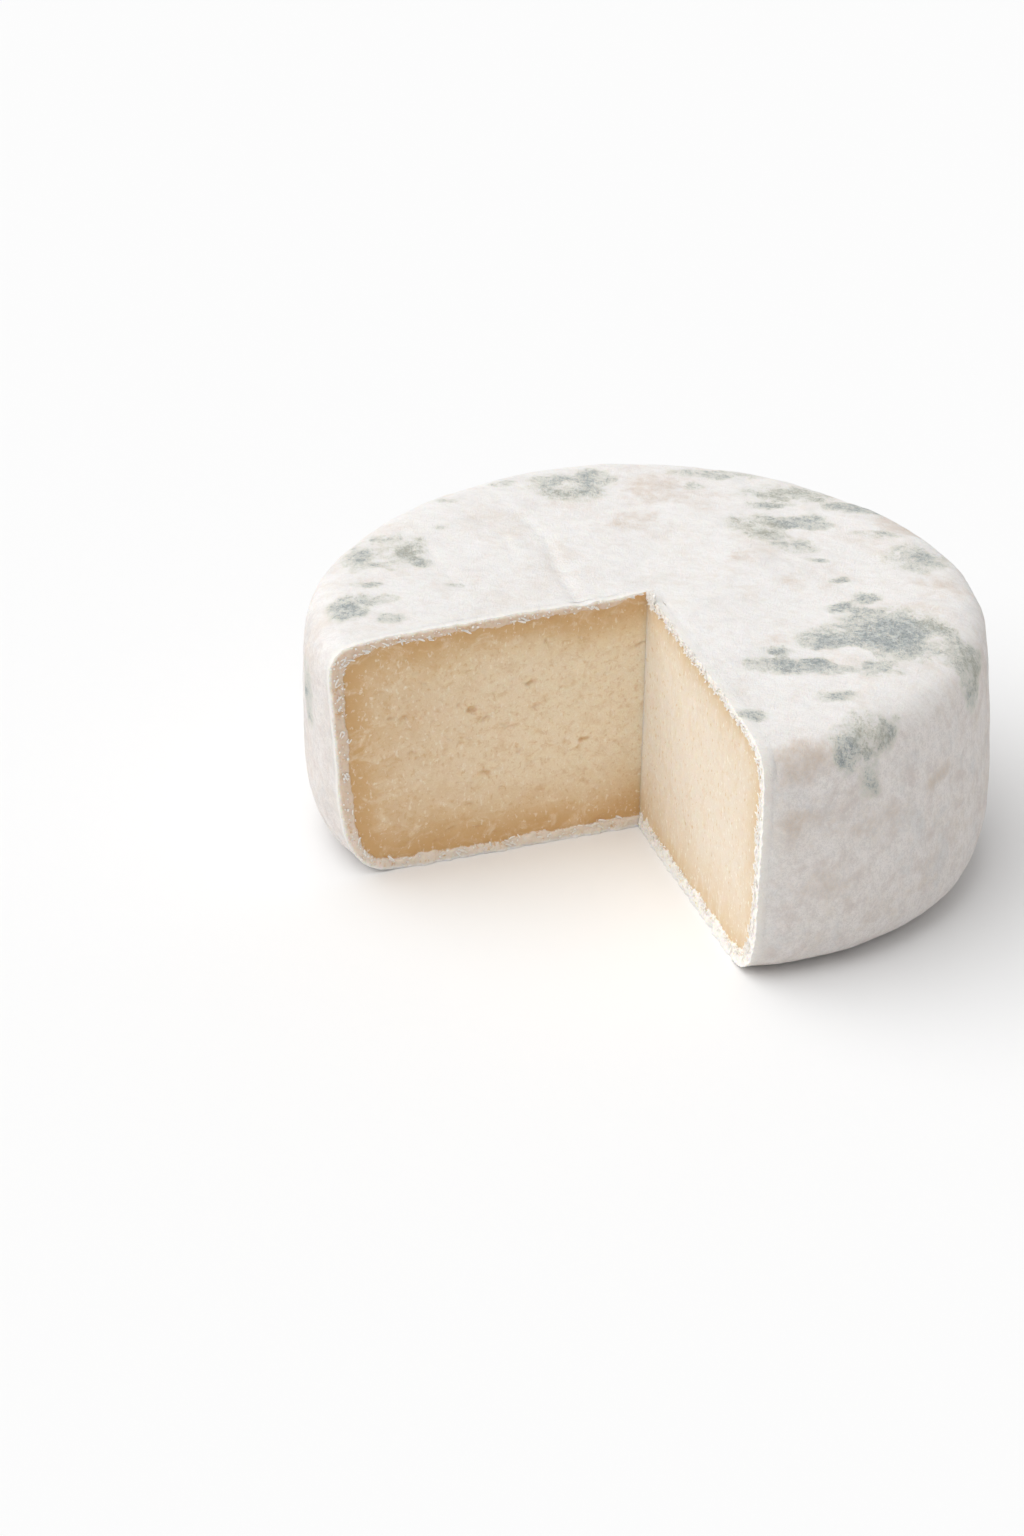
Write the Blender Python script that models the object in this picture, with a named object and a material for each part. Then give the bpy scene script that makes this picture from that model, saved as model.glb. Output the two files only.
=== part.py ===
"""A soft-ripened cheese wheel with one wedge cut out of it, modelled as one solid.

Metres, +Z up. The origin is on the table, under the middle of the wheel's box. The notch left by the wedge
opens towards -Y, and its two cut faces meet in a vertical corner close to the wheel's middle.

The section of the wheel is a grid of squares, drawn out to a flat top, an upright wall and rounded edges.
It is spun round the notch's corner, from one cut face to the other, and then the round wheel is worked into
an uneven one: lobes, a spreading foot, a sloping top, a raised ragged rind and small eyes in the paste.
"""

import math
import random

import bmesh
import bpy
import numpy as np
from mathutils import Matrix, Vector, noise

MM = 0.001

# Driving dimensions of the wheel
RIM_RADIUS = 100.0 * MM
FOOT_RADIUS = 99.2 * MM
HEIGHT = 77.7 * MM
NOTCH_ANGLE = math.radians(84.5)
NOTCH_DIRECTION = math.radians(270.0)

# The notch's inner corner, measured from the origin
CORNER = Vector((-2.8 * MM, -11.5 * MM, 0.0))

# The upper surface rises gently towards the back
TOP_SLOPE = 0.0285
TOP_SLOPE_DIRECTION = math.radians(112.0)

# How far the rim and the foot leave a circle: lobes round the wheel, the swell of each and where it points
RIM_LOBES = {1: (1.8 * MM, 310.0), 2: (0.5 * MM, 80.0), 3: (0.9 * MM, 88.0), 4: (1.2 * MM, 33.0)}
FOOT_LOBES = {1: (4.8 * MM, 42.0), 2: (4.5 * MM, 172.5), 3: (2.8 * MM, 90.0), 4: (1.4 * MM, 28.0)}

# Rounded edges of the section, as shares of its radius and height; a higher power is a tighter corner
WAIST = 0.575
TOP_EDGE_SPAN = 0.44
TOP_EDGE_POWER = 6.8
FOOT_EDGE_SPAN = 0.295
FOOT_EDGE_POWER = 4.4

# Slow waves pressed into the skin while the wheel ripened
TOP_WAVE = 0.9 * MM
TOP_WAVE_LENGTH = 34.0 * MM
WALL_WAVE = 0.8 * MM
WALL_WAVE_LENGTH = 30.0 * MM

# The rind, seen in section at a cut
RIND_TOP = 3.7 * MM
RIND_WALL = 5.4 * MM
RIND_FOOT = 3.9 * MM
RIND_RAGGED = 1.3 * MM
RIND_RAGGED_LENGTH = 4.5 * MM
RIND_PROUD = 0.5 * MM
RIND_STEP = 0.5 * MM
CRUST_CRAG = 0.7 * MM
CRUST_CRAG_LENGTH = 3.2 * MM
TORN_LIP = 0.6 * MM
TORN_LIP_DEPTH = 1.5 * MM

# The paste of a cut face: slow knife waves, and eyes as (along the cut, above the table, half length,
# half height, depth)
KNIFE_WAVE = 0.45 * MM
KNIFE_WAVE_LENGTH = 24.0 * MM
LEFT_EYES = (
    (55.4, 48.6, 2.3, 1.5, 1.5),
    (76.5, 49.6, 3.0, 1.2, 1.1),
    (81.5, 50.2, 1.8, 1.0, 1.0),
    (50.7, 44.9, 2.6, 1.2, 1.1),
    (37.0, 54.0, 2.9, 1.3, 1.4),
    (19.3, 32.6, 2.6, 1.2, 1.4),
    (40.0, 31.8, 2.2, 1.1, 0.9),
    (50.7, 26.7, 3.0, 1.5, 1.3),
    (73.9, 37.0, 2.2, 1.1, 0.9),
    (4.5, 60.8, 2.6, 1.5, 1.2),
    (42.9, 40.7, 2.8, 1.0, 0.8),
    (59.6, 50.5, 1.6, 1.0, 0.8),
)
PINHOLES = 9
PINHOLE_SIZE = (1.1 * MM, 1.7 * MM)
PINHOLE_DEPTH = (0.4 * MM, 0.8 * MM)
PINHOLE_SEED = 7

# The relief dies out towards the notch's corner and the table
CORNER_FADE = 4.0 * MM
FLOOR_FADE = 3.0 * MM

# Fineness: quads along the section's top, its wall, and round the wheel; then the triangles that are kept
ACROSS_STEPS = 84
UPRIGHT_STEPS = 62
ROUND_STEPS = 150
KEPT_TRIANGLES = 10400

RIND_COLOUR = (0.83, 0.80, 0.77, 1.0)
PASTE_COLOUR = (0.82, 0.68, 0.47, 1.0)
WELD_DISTANCE = 1e-6
SAME_ANGLE = 1e-4

# The cut faces, as directions from the notch's corner; right and left as seen looking into the notch
SWEEP = 2 * math.pi - NOTCH_ANGLE
RIGHT_CUT = NOTCH_DIRECTION + NOTCH_ANGLE / 2
LEFT_CUT = RIGHT_CUT + SWEEP


def clear_scene():
    """Removes whatever the file holds."""
    for old in list(bpy.data.objects):
        bpy.data.objects.remove(old, do_unlink=True)


def evenly_spaced(points, count):
    """The same line with count equal steps along its length."""
    lengths = np.hypot(*np.diff(points, axis=0).T)
    reached = np.concatenate([[0.0], np.cumsum(lengths)])
    wanted = np.linspace(0.0, reached[-1], count + 1)
    return np.stack([np.interp(wanted, reached, points[:, i]) for i in range(2)], axis=1)


def rounded_edge(span, power, rise):
    """One rounded edge of the section, from the flat to the waist; rise is +1 for the top and -1 below."""
    turn = np.linspace(math.pi / 2, 0.0, 400)
    out = 1.0 - span + span * np.cos(turn) ** (2 / power)
    end = 1.0 if rise > 0 else 0.0
    up = WAIST + (end - WAIST) * np.sin(turn) ** (2 / power)
    return np.stack([out, up], axis=1)


def split_at_corner(edge, flat_end):
    """Cuts a rounded edge where it runs at 45 degrees: the part on the flat, and the part on the wall."""
    size = np.abs(edge - [1.0 - np.ptp(edge[:, 0]), WAIST])
    size = size / size.max(axis=0)
    corner = int(np.argmin(np.abs(size[:, 0] - size[:, 1])))
    return np.vstack([[0.0, flat_end], edge[: corner + 1]]), edge[corner:]


def section_edges():
    """The section's top, wall and underside, as lines of (share of radius, share of height)."""
    top, upper_wall = split_at_corner(rounded_edge(TOP_EDGE_SPAN, TOP_EDGE_POWER, 1), 1.0)
    foot, lower_wall = split_at_corner(rounded_edge(FOOT_EDGE_SPAN, FOOT_EDGE_POWER, -1), 0.0)
    wall = np.vstack([lower_wall, upper_wall[::-1]])
    return (
        evenly_spaced(top, ACROSS_STEPS),
        evenly_spaced(wall, UPRIGHT_STEPS),
        evenly_spaced(foot, ACROSS_STEPS),
    )


def section_points():
    """A grid of points that fills the section, each row and column bent to follow the edges."""
    top, wall, foot = section_edges()
    across = np.linspace(0.0, 1.0, ACROSS_STEPS + 1)[None, :, None]
    upright = np.linspace(0.0, 1.0, UPRIGHT_STEPS + 1)[:, None, None]
    axis = np.stack([np.zeros(UPRIGHT_STEPS + 1), upright[:, 0, 0]], axis=1)
    between_flats = (1 - upright) * foot[None] + upright * top[None]
    between_walls = (1 - across) * axis[:, None] + across * wall[:, None]
    corners = (
        (1 - upright) * ((1 - across) * foot[0] + across * foot[-1])
        + upright * ((1 - across) * top[0] + across * top[-1])
    )
    return between_flats + between_walls - corners


def add_section(bm):
    """A grid of squares on the right cut face, drawn out to the section's shape."""
    made = bmesh.ops.create_grid(bm, x_segments=ACROSS_STEPS, y_segments=UPRIGHT_STEPS, size=0.5)
    points = section_points()
    turn = Matrix.Rotation(RIGHT_CUT, 4, "Z")
    for vertex in made["verts"]:
        column = round((vertex.co.x + 0.5) * ACROSS_STEPS)
        row = round((vertex.co.y + 0.5) * UPRIGHT_STEPS)
        out, up = points[row, column]
        vertex.co = turn @ Vector((out * RIM_RADIUS, 0.0, up * HEIGHT))


def spin_section(bm):
    """Spins the section's outline round the notch's corner and closes the far end with a second section."""
    faces = bm.faces[:]
    outline = [edge for edge in bm.edges if edge.is_boundary and not on_axis(edge)]
    copy = bmesh.ops.duplicate(bm, geom=faces)
    far_vertices = [item for item in copy["geom"] if isinstance(item, bmesh.types.BMVert)]
    bmesh.ops.rotate(
        bm, verts=far_vertices, cent=(0.0, 0.0, 0.0), matrix=Matrix.Rotation(SWEEP, 3, "Z")
    )
    bmesh.ops.spin(
        bm, geom=outline, cent=(0.0, 0.0, 0.0), axis=(0.0, 0.0, 1.0), angle=SWEEP, steps=ROUND_STEPS
    )
    bmesh.ops.remove_doubles(bm, verts=bm.verts[:], dist=WELD_DISTANCE)


def on_axis(edge):
    """True for an edge of the section that lies on the notch's corner."""
    return all(math.hypot(vertex.co.x, vertex.co.y) < WELD_DISTANCE for vertex in edge.verts)


def lobed(radius, lobes, angle):
    """The radius of an outline that swells in a few lobes."""
    return radius + sum(
        swell * math.cos(count * (angle - math.radians(towards)))
        for count, (swell, towards) in lobes.items()
    )


def worked_place(out, up, angle):
    """Where a point of the round wheel lies once the wheel is uneven."""
    rim = lobed(RIM_RADIUS, RIM_LOBES, angle)
    foot = lobed(FOOT_RADIUS, FOOT_LOBES, angle)
    around = Vector((math.cos(angle), math.sin(angle), 0.0))
    on_wall = around * RIM_RADIUS + Vector((0.0, 0.0, up * HEIGHT))
    wall_wave = WALL_WAVE * noise.noise(on_wall / WALL_WAVE_LENGTH) * out**3
    place = around * (out * (foot + (rim - foot) * up) + wall_wave)
    uphill = place.x * math.cos(TOP_SLOPE_DIRECTION) + place.y * math.sin(TOP_SLOPE_DIRECTION)
    top_wave = TOP_WAVE * noise.noise(place / TOP_WAVE_LENGTH) * up**3
    place.z = up * (HEIGHT + TOP_SLOPE * uphill) + top_wave
    return place


def work_wheel(bm):
    """Moves every point from the round wheel to the uneven one and lists the points of each cut face."""
    cut_vertices = {RIGHT_CUT: [], LEFT_CUT: []}
    for vertex in bm.verts:
        out = math.hypot(vertex.co.x, vertex.co.y) / RIM_RADIUS
        up = vertex.co.z / HEIGHT
        angle = math.atan2(vertex.co.y, vertex.co.x)
        for cut, found in cut_vertices.items():
            if out > 0.0 and abs(math.remainder(angle - cut, 2 * math.pi)) < SAME_ANGLE:
                found.append(vertex)
        vertex.co = worked_place(out, up, angle)
    return cut_vertices


def outline_at(cut):
    """The worked outline of the section at a cut, as (along the cut, above the table)."""
    points = np.vstack([section_edges()[0], section_edges()[1][::-1], section_edges()[2][::-1]])
    places = [worked_place(out, up, cut) for out, up in points]
    return np.array([(math.hypot(place.x, place.y), place.z) for place in places])


def depth_under(outline, along, above):
    """How far points of a cut face lie under the wheel's surface, and that surface's nearest points."""
    places = np.stack([along, above], axis=1)
    gaps = np.hypot(*(places[:, None] - outline[None]).transpose(2, 0, 1))
    nearest = gaps.argmin(axis=1)
    return gaps[np.arange(len(places)), nearest], outline[nearest]


def rind_thickness(nearest, cut):
    """The ragged thickness of the rind next to points of the outline."""
    radius = RIM_RADIUS * (1.0 - TOP_EDGE_SPAN / 3)
    upper = nearest[1] > HEIGHT / 2
    flat = RIND_TOP if upper else RIND_FOOT
    towards_wall = min(1.0, max(0.0, (nearest[0] - radius) / (RIM_RADIUS - radius)))
    thickness = flat + (RIND_WALL - flat) * towards_wall
    ragged = noise.noise(Vector((nearest[0], nearest[1], cut)) / RIND_RAGGED_LENGTH)
    return thickness + RIND_RAGGED * ragged


def pinholes(seed):
    """Small eyes scattered over a cut face, as (along, above, half length, half height, depth)."""
    draw = random.Random(seed)
    for _ in range(PINHOLES):
        along = draw.uniform(0.10, 0.86) * RIM_RADIUS
        above = draw.uniform(0.14, 0.84) * HEIGHT
        half = draw.uniform(*PINHOLE_SIZE)
        yield along, above, half, half * draw.uniform(0.6, 0.9), draw.uniform(*PINHOLE_DEPTH)


def eye_depth(eyes, along, above):
    """How deep the eyes press a cut face in at a point."""
    depth = 0.0
    for eye_along, eye_above, half_length, half_height, deepest in eyes:
        away = ((along - eye_along) / half_length) ** 2 + ((above - eye_above) / half_height) ** 2
        depth = max(depth, deepest * math.exp(-1.2 * away * away))
    return depth


def carve_cut(vertices, cut, into_notch, eyes):
    """Gives a cut face its proud ragged rind, knife waves and eyes, and returns the points of its paste."""
    outward = Vector((math.cos(cut), math.sin(cut), 0.0))
    along = np.array([math.hypot(vertex.co.x, vertex.co.y) for vertex in vertices])
    above = np.array([vertex.co.z for vertex in vertices])
    depths, nearest = depth_under(outline_at(cut), along, above)
    paste_vertices = set()
    for vertex, depth, beside, distance, height in zip(vertices, depths, nearest, along, above):
        place = Vector((distance, height, 0.1 * cut))
        crag = noise.noise(place / CRUST_CRAG_LENGTH)
        in_paste = min(1.0, max(0.0, (depth - rind_thickness(beside, cut)) / RIND_STEP))
        paste = KNIFE_WAVE * noise.noise(place / KNIFE_WAVE_LENGTH) - eye_depth(eyes, distance, height)
        crust = RIND_PROUD + CRUST_CRAG * crag
        fade = min(1.0, distance / CORNER_FADE) * min(1.0, height / FLOOR_FADE)
        vertex.co += into_notch * (fade * (crust + (paste - crust) * in_paste))
        torn = fade * max(0.0, 1.0 - depth / TORN_LIP_DEPTH) * TORN_LIP * crag
        vertex.co += outward * (torn * (distance / RIM_RADIUS) ** 8)
        vertex.co.z += torn * min(1.0, (height / HEIGHT) ** 8)
        if in_paste > 0.5:
            paste_vertices.add(vertex)
    return paste_vertices


def carve_cuts(cut_vertices):
    """Carves both cut faces, each seen from the empty notch, and returns the points of their paste."""
    paste_vertices = set()
    placed_eyes = [tuple(value * MM for value in eye) for eye in LEFT_EYES]
    for cut, side, eyes in ((RIGHT_CUT, -1.0, []), (LEFT_CUT, 1.0, placed_eyes)):
        into_notch = Vector((-math.sin(cut), math.cos(cut), 0.0)) * side
        eyes = eyes + list(pinholes(PINHOLE_SEED + len(eyes)))
        paste_vertices |= carve_cut(cut_vertices[cut], cut, into_notch, eyes)
    return paste_vertices


def coloured(name, colour, roughness):
    """A plain Principled material."""
    material = bpy.data.materials.new(name)
    material.use_nodes = True
    shader = material.node_tree.nodes["Principled BSDF"]
    shader.inputs["Base Color"].default_value = colour
    shader.inputs["Roughness"].default_value = roughness
    shader.inputs["Metallic"].default_value = 0.0
    return material


def make_wheel(collection):
    """The whole wheel as one object, thinned to the triangles that carry its shape."""
    bm = bmesh.new()
    add_section(bm)
    spin_section(bm)
    paste_vertices = carve_cuts(work_wheel(bm))
    for face in bm.faces:
        face.material_index = int(all(vertex in paste_vertices for vertex in face.verts))
    bmesh.ops.recalc_face_normals(bm, faces=bm.faces[:])
    bmesh.ops.translate(bm, verts=bm.verts[:], vec=CORNER)
    triangles = sum(len(face.verts) - 2 for face in bm.faces)
    mesh = bpy.data.meshes.new("cheese_wheel")
    bm.to_mesh(mesh)
    bm.free()
    mesh.materials.append(coloured("rind", RIND_COLOUR, 0.9))
    mesh.materials.append(coloured("paste", PASTE_COLOUR, 0.55))
    mesh.shade_smooth()
    mesh.set_sharp_from_angle(angle=math.radians(40.0))
    wheel = bpy.data.objects.new("cheese_wheel", mesh)
    collection.objects.link(wheel)
    thinned = wheel.modifiers.new("Thinned", "DECIMATE")
    thinned.ratio = KEPT_TRIANGLES / triangles
    return wheel


def main():
    clear_scene()
    collection = bpy.data.collections.new("cheese_wheel")
    bpy.context.scene.collection.children.link(collection)
    wheel = make_wheel(collection)
    seen = wheel.evaluated_get(bpy.context.evaluated_depsgraph_get()).to_mesh()
    low = [min(vertex.co[i] for vertex in seen.vertices) for i in range(3)]
    high = [max(vertex.co[i] for vertex in seen.vertices) for i in range(3)]
    print("wheel from", [round(v / MM, 2) for v in low], "to", [round(v / MM, 2) for v in high], "mm")
    print("triangles", sum(len(face.vertices) - 2 for face in seen.polygons))


main()
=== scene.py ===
# %% [markdown]
# # A soft-ripened cheese wheel with a notch cut into it
#
# The real thing is a low drum of pale paste in a skin of white mould, with blue-grey colonies on the skin.
# Both faces of its notch show the rind in section, a darker line of ripe paste under it, and small eyes. The
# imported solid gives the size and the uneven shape. This script adds what the eye sees: a fine skin, finely
# worked cut faces, torn slivers of rind, and a finish for each.

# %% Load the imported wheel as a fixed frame
import math
import random

import bmesh
import bpy
import numpy as np
from mathutils import Matrix, Vector, kdtree, noise


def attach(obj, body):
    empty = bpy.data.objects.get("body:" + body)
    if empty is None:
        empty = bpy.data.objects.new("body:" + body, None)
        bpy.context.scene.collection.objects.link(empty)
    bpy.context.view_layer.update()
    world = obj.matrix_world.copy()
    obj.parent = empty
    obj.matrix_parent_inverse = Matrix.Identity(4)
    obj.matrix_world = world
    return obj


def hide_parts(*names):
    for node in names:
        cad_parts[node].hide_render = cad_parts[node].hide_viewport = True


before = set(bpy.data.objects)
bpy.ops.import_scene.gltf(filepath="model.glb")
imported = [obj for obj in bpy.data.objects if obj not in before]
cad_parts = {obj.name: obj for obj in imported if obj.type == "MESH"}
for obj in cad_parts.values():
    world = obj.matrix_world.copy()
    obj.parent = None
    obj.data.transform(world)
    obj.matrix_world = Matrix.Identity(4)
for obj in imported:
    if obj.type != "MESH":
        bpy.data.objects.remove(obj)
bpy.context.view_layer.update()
MM = 0.001

# %% [markdown]
# ## The camera
#
# The photograph was taken with a long lens from a little above, so parallel edges hardly converge. The
# camera is placed by a direction, a distance and a roll round the point in the middle of its picture, which
# is easier to correct than a matrix. That point lies left of the wheel's middle, as in the photograph.

# %% Camera
CORNER = Vector((-2.8, -11.5, 0.0)) * MM
AIM = CORNER + Vector((-38.4, -9.3, 14.5)) * MM
CAMERA_DISTANCE = 1359.5 * MM
CAMERA_AZIMUTH = math.radians(24.51)
CAMERA_ELEVATION = math.radians(27.15)
CAMERA_ROLL = math.radians(1.31)
CAMERA_LENS = 105.5

camera = bpy.data.objects.new("camera", bpy.data.cameras.new("camera"))
bpy.context.scene.collection.objects.link(camera)
bpy.context.scene.camera = camera
camera.data.lens = CAMERA_LENS
camera.data.clip_end = 50.0
level = math.cos(CAMERA_ELEVATION)
towards_camera = Vector((
    math.sin(CAMERA_AZIMUTH) * level,
    -math.cos(CAMERA_AZIMUTH) * level,
    math.sin(CAMERA_ELEVATION),
))
camera.location = AIM + CAMERA_DISTANCE * towards_camera
turn = towards_camera.to_track_quat("Z", "Y") @ Matrix.Rotation(CAMERA_ROLL, 3, "Z").to_quaternion()
camera.rotation_euler = turn.to_euler()
print("camera at", [round(v, 3) for v in camera.location])

# %% [markdown]
# ## The shape of the wheel
#
# A wheel of cheese is never a clean cylinder. It sags a little while it is young, so the foot spreads, and
# its edges are round. Its section is a rectangle whose corners are superellipses, and the rim and the foot
# are circles with a few slow lobes. Every visible piece is first modelled on a plain round drum and then
# goes through these functions, so skin and cut faces meet without any fitting.

# %% Sizes of the drum, and its slow lobes
RIM_RADIUS = 100.0 * MM
FOOT_RADIUS = 99.2 * MM
HEIGHT = 77.7 * MM
NOTCH_ANGLE = math.radians(84.5)
RIGHT_CUT = math.radians(270.0) + NOTCH_ANGLE / 2
SWEEP = 2 * math.pi - NOTCH_ANGLE
LEFT_CUT = RIGHT_CUT + SWEEP
TOP_SLOPE = 0.0285
TOP_SLOPE_DIRECTION = math.radians(112.0)
RIM_LOBES = {1: (1.8 * MM, 310.0), 2: (0.5 * MM, 80.0), 3: (0.9 * MM, 88.0), 4: (1.2 * MM, 33.0)}
FOOT_LOBES = {1: (4.8 * MM, 42.0), 2: (4.5 * MM, 172.5), 3: (2.8 * MM, 90.0), 4: (1.4 * MM, 28.0)}
WAIST = 0.575
TOP_EDGE_SPAN, TOP_EDGE_POWER = 0.44, 6.8
FOOT_EDGE_SPAN, FOOT_EDGE_POWER = 0.295, 4.4
EDGE_POINTS = 400


def even_line(points):
    """A line that is asked for by the share of its length."""
    reached = np.concatenate([[0.0], np.cumsum(np.hypot(*np.diff(points, axis=0).T))])
    reached /= reached[-1]
    return lambda share: np.stack([np.interp(share, reached, points[:, i]) for i in range(2)], axis=-1)


def rounded_edge(span, power, end):
    """A rounded edge of the section as its run along the flat, from the middle, and its run down the wall."""
    turn = np.linspace(math.pi / 2, 0.0, EDGE_POINTS)
    out = 1.0 - span + span * np.cos(turn) ** (2 / power)
    up = WAIST + (end - WAIST) * np.sin(turn) ** (2 / power)
    towards_wall = (out - out[0]) / np.ptp(out)
    towards_flat = (up - WAIST) / (end - WAIST)
    corner = int(np.argmin(np.abs(towards_wall - towards_flat)))
    edge = np.stack([out, up], axis=1)
    return np.vstack([[0.0, end], edge[: corner + 1]]), edge[corner:]


top_points, upper_wall = rounded_edge(TOP_EDGE_SPAN, TOP_EDGE_POWER, 1.0)
foot_points, lower_wall = rounded_edge(FOOT_EDGE_SPAN, FOOT_EDGE_POWER, 0.0)
top_line = even_line(top_points)
foot_line = even_line(foot_points)
wall_line = even_line(np.vstack([lower_wall, upper_wall[::-1]]))
print("the top edge turns at", top_points[-1].round(3), "of the radius and height")


# %% From the plain drum to the uneven wheel
def rounded(across, upright):
    """Moves points of a square onto the rounded section, as shares of radius and height."""
    top, foot, wall = top_line(across), foot_line(across), wall_line(upright)
    u, v = across[:, None], upright[:, None]
    axis = np.hstack([0 * v, v])
    corners = (1 - v) * u * foot_line(1.0) + v * ((1 - u) * [0.0, 1.0] + u * top_line(1.0))
    return (1 - v) * foot + v * top + (1 - u) * axis + u * wall - corners


CRAG_DECAY, CRAG_STEP = 0.9, 2.1


def waves(places, length):
    """Smooth noise of about -1 to 1 at each place, in bumps of that length."""
    return np.array([noise.noise(place) for place in (places / length).tolist()])


def crags(places, length, octaves=4):
    """Rough noise at each place: bumps of that length with smaller ones on them."""
    shape = (CRAG_DECAY, CRAG_STEP, octaves)
    return np.array([noise.fractal(place, *shape) for place in (places / length).tolist()])


def smooth_step(value, low, high):
    """0 below low, 1 above high, and an even ease between them."""
    share = np.clip((value - low) / (high - low), 0.0, 1.0)
    return share * share * (3 - 2 * share)


def lobed(radius, lobes, angle):
    """The radius of an outline that swells in a few lobes."""
    return radius + sum(
        swell * np.cos(count * (angle - math.radians(towards)))
        for count, (swell, towards) in lobes.items()
    )


TOP_WAVE, TOP_WAVE_LENGTH = 0.9 * MM, 34.0 * MM
WALL_WAVE, WALL_WAVE_LENGTH = 0.8 * MM, 30.0 * MM


def worked(out, up, angle):
    """Where points of the plain drum lie on the uneven wheel, measured from the notch's corner."""
    rim = lobed(RIM_RADIUS, RIM_LOBES, angle)
    foot = lobed(FOOT_RADIUS, FOOT_LOBES, angle)
    around = np.stack([np.cos(angle), np.sin(angle), 0 * angle], axis=1)
    on_wall = around * RIM_RADIUS
    on_wall[:, 2] = up * HEIGHT
    reach = out * (foot + (rim - foot) * up) + WALL_WAVE * waves(on_wall, WALL_WAVE_LENGTH) * out**3
    places = around * reach[:, None]
    uphill = places[:, 0] * math.cos(TOP_SLOPE_DIRECTION) + places[:, 1] * math.sin(TOP_SLOPE_DIRECTION)
    top_wave = TOP_WAVE * waves(places, TOP_WAVE_LENGTH) * up**3
    places[:, 2] = up * (HEIGHT + TOP_SLOPE * uphill) + top_wave
    return places


rim_reach = lobed(RIM_RADIUS, RIM_LOBES, np.linspace(0, 2 * math.pi, 72)) / MM
print("the rim's radius runs from", rim_reach.min().round(1), "to", rim_reach.max().round(1), "mm")

# %% [markdown]
# ## Helpers for modelling
#
# Operators act on whatever is selected, so each piece starts with nothing selected. In edit mode the parts to
# work on are picked by a test on their place. Points are read and written as one array, because the skin has
# tens of thousands of them.


# %% Start a piece, pick parts of it, read and write its points
def fresh(name, add, **how):
    """Adds a primitive with nothing else selected, and names it."""
    bpy.ops.object.select_all(action="DESELECT")
    add(**how)
    piece = bpy.context.object
    piece.name = name
    piece.data.name = name
    return piece


def pick(piece, kind, test):
    """In edit mode, selects the vertices, edges or faces that pass a test, and nothing else."""
    bpy.ops.mesh.select_all(action="DESELECT")
    bm = bmesh.from_edit_mesh(piece.data)
    for part in getattr(bm, kind):
        if test(part):
            part.select_set(True)
    bmesh.update_edit_mesh(piece.data)


def points_of(piece, what="co"):
    """The places of a piece's vertices, or the ways that they face, one row each."""
    rows = np.empty(len(piece.data.vertices) * 3)
    piece.data.vertices.foreach_get(what, rows)
    return rows.reshape(-1, 3)


def put_points(piece, places):
    """Moves a piece's vertices."""
    piece.data.vertices.foreach_set("co", np.ascontiguousarray(places).ravel())
    piece.data.update()


def paint(piece, name, values):
    """Stores a value for each vertex, for a material to read by name."""
    layer = piece.data.attributes.new(name, "FLOAT", "POINT")
    layer.data.foreach_set("value", np.ascontiguousarray(values, dtype=np.float32))


def take_up(piece):
    """Makes a piece the one selected and active object."""
    bpy.ops.object.select_all(action="DESELECT")
    piece.select_set(True)
    bpy.context.view_layer.objects.active = piece


def open_up():
    """Goes into edit mode with all of the active piece selected."""
    bpy.ops.object.mode_set(mode="EDIT")
    bpy.ops.mesh.select_all(action="SELECT")


def face_outwards(piece):
    """Turns every face of a closed piece outwards, as working it can leave it inside out."""
    take_up(piece)
    open_up()
    bpy.ops.mesh.normals_make_consistent(inside=False)
    bpy.ops.object.mode_set(mode="OBJECT")


def shade(piece, sharpest=60.0):
    """Shades a piece smooth, but for edges sharper than an angle."""
    take_up(piece)
    bpy.ops.object.shade_smooth_by_angle(angle=math.radians(sharpest))


# %% [markdown]
# ## The skin
#
# The skin is the whole outside of the wheel. Its section is an open line along the top, down the wall and
# back under the foot, so it can be spun: a plane gives the four edges, they are subdivided, and the three
# outer ones are spun round the notch's corner. Spin turns clockwise round its axis, so the axis points down.
# One large face closes each end. The ends stand back from the cuts, to leave room for the finer cut faces.

# %% Spin the drum
SKIN_STEPS = 370
SECTION_CUTS = 76
WELD = 1e-6
NEAR_AXIS = 0.2 * MM

half = Vector((math.cos(RIGHT_CUT) * RIM_RADIUS, math.sin(RIGHT_CUT) * RIM_RADIUS, HEIGHT)) / 2
rind = fresh(
    "bloom_rind",
    bpy.ops.mesh.primitive_plane_add,
    size=1.0,
    location=half,
    rotation=(math.pi / 2, 0.0, RIGHT_CUT),
)
rind.scale = (RIM_RADIUS, HEIGHT, 1.0)
bpy.ops.object.transform_apply(location=True, rotation=True, scale=True)
open_up()
bpy.ops.mesh.delete(type="ONLY_FACE")
bpy.ops.mesh.select_all(action="SELECT")
bpy.ops.mesh.subdivide(number_cuts=SECTION_CUTS)


def off_axis(part):
    """True for an edge that isn't on the notch's corner."""
    return any(math.hypot(vertex.co.x, vertex.co.y) > NEAR_AXIS for vertex in part.verts)


pick(rind, "edges", off_axis)
bpy.ops.mesh.spin(steps=SKIN_STEPS, angle=SWEEP, center=(0.0, 0.0, 0.0), axis=(0.0, 0.0, -1.0))
bpy.ops.mesh.select_all(action="SELECT")
bpy.ops.mesh.remove_doubles(threshold=WELD)
print("spun", len(bmesh.from_edit_mesh(rind.data).verts), "points")


# %% Close both ends
def in_section(cut):
    """A test for the vertices of one end of the spun drum."""

    def test(vertex):
        radius = math.hypot(vertex.co.x, vertex.co.y)
        angle = math.atan2(vertex.co.y, vertex.co.x)
        return radius < NEAR_AXIS or abs(math.remainder(angle - cut, 2 * math.pi)) * radius < WELD * 10

    return test


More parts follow.
